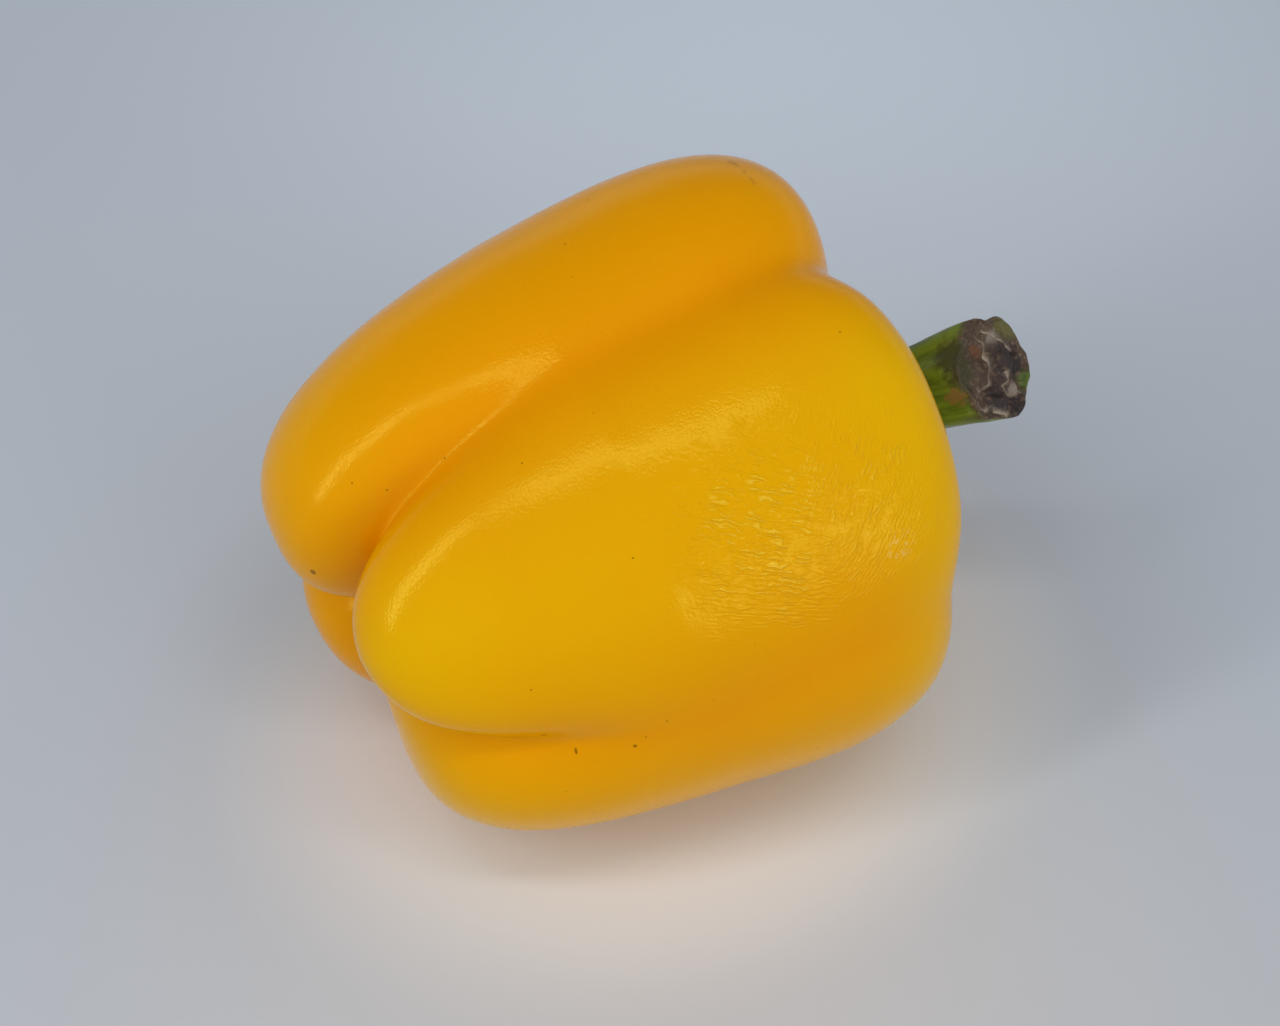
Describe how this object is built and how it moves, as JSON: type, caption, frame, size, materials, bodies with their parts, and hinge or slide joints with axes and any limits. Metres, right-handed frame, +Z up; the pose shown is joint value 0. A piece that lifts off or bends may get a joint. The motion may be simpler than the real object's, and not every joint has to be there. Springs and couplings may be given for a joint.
{
  "type": "bell pepper",
  "caption": "Yellow bell pepper as picked, lying on its side: a blocky, glossy lobed fruit with a sunken stem end and a short cut green stem.",
  "frame": {"origin": "middle of the footprint's box, on the surface that the pepper lies on", "axes": "+X from the blossom end towards the stem end, +Z up, -Y towards the side that the picture was taken from"},
  "size_m": [0.1008, 0.0752, 0.0746],
  "materials": {
    "skin": "glossy waxy skin",
    "stem": "satin green with a dry brown cut end"
  },
  "bodies": {
    "root": {"fruit": "skin", "stem": "stem"}
  },
  "joints": []
}
